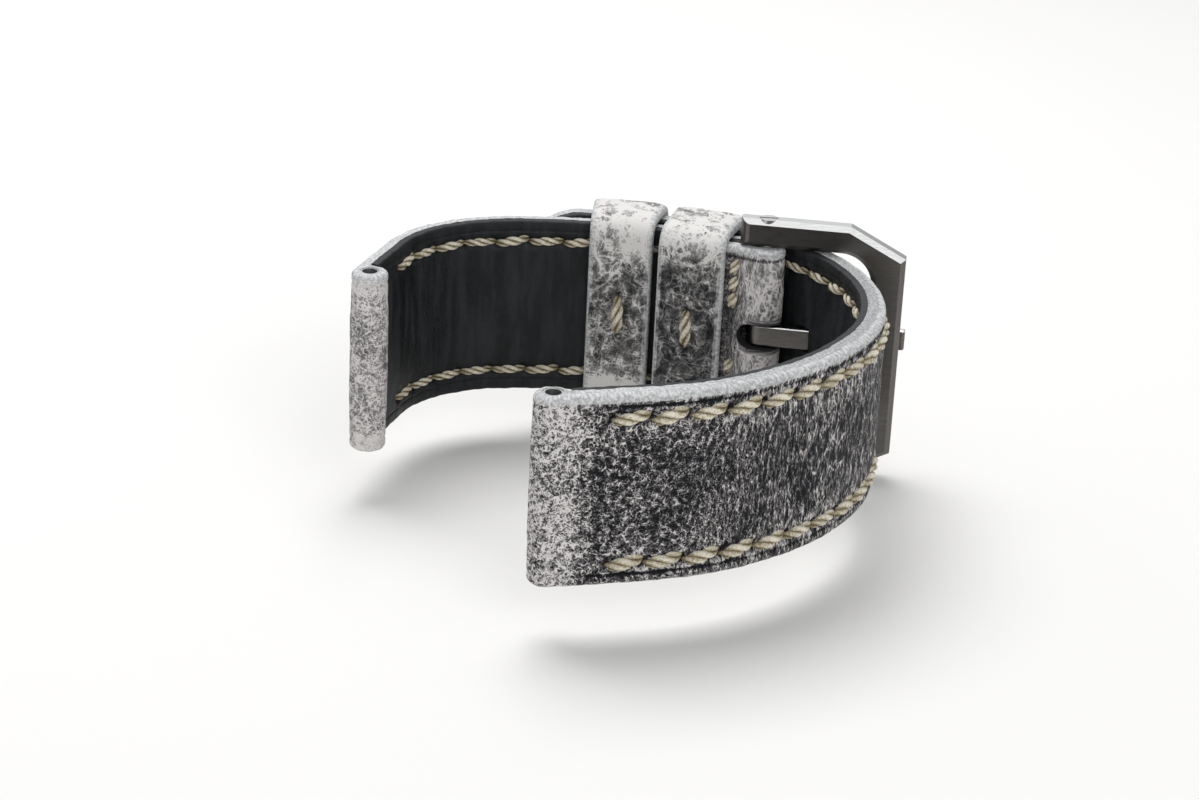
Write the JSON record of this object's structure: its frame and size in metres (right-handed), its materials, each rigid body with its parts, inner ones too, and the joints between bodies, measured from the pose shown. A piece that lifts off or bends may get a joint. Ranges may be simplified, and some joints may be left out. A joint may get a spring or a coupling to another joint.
{
  "type": "leather watch strap",
  "caption": "Thick leather watch strap, buckled into its loop: long and short halves with tubed lug ends, steel frame buckle, tongue, fixed and free keepers.",
  "frame": {"origin": "bottom centre of the buckled strap's bounding box, with the strap standing on edge", "axes": "+Z runs across the strap's width, along both lug bores; +X points past the buckle's end bar; +Y points from the tail half's lug end towards the keepers"},
  "size_m": [0.0776, 0.0758, 0.0378],
  "materials": {
    "outer_leather": "distressed, waxed",
    "lining_leather": "smooth, matt",
    "keeper_leather": "distressed, waxed",
    "thread": "twisted, waxed",
    "steel": "brushed flats, bright edges",
    "tube_steel": "plain drawn"
  },
  "bodies": {
    "strap": {"tail_leather": "outer_leather", "tail_lining": "lining_leather", "tail_thread_upper": "thread", "tail_thread_lower": "thread", "tail_lug_tube": "tube_steel", "buckle_leather": "outer_leather", "buckle_lining": "lining_leather", "buckle_thread_upper": "thread", "buckle_thread_lower": "thread", "buckle_lug_tube": "tube_steel", "flap_cross_thread": "thread", "fixed_keeper": "keeper_leather", "fixed_keeper_thread": "thread"},
    "buckle": {"buckle_frame": "steel", "pivot_bar": "steel", "pivot_bar_screws": "steel"},
    "tongue": {"buckle_tongue": "steel"},
    "free_keeper": {"free_keeper": "keeper_leather", "free_keeper_thread": "thread"}
  },
  "joints": [
    {"name": "frame_pivot", "type": "hinge", "parent": "strap", "child": "buckle", "pos_m": [0.01829, 0.02255, 0.0206], "axis": [0, 0, 1], "range_deg": [-4, 0]},
    {"name": "tongue_pivot", "type": "hinge", "parent": "strap", "child": "tongue", "pos_m": [0.01829, 0.02255, 0.0206], "axis": [0, 0, 1], "range_deg": [0, 5]},
    {"name": "keeper_travel", "type": "hinge", "parent": "strap", "child": "free_keeper", "pos_m": [-0.00951, -0.02415, 0.0206], "axis": [0, 0, 1], "range_deg": [0, 10.6]}
  ]
}
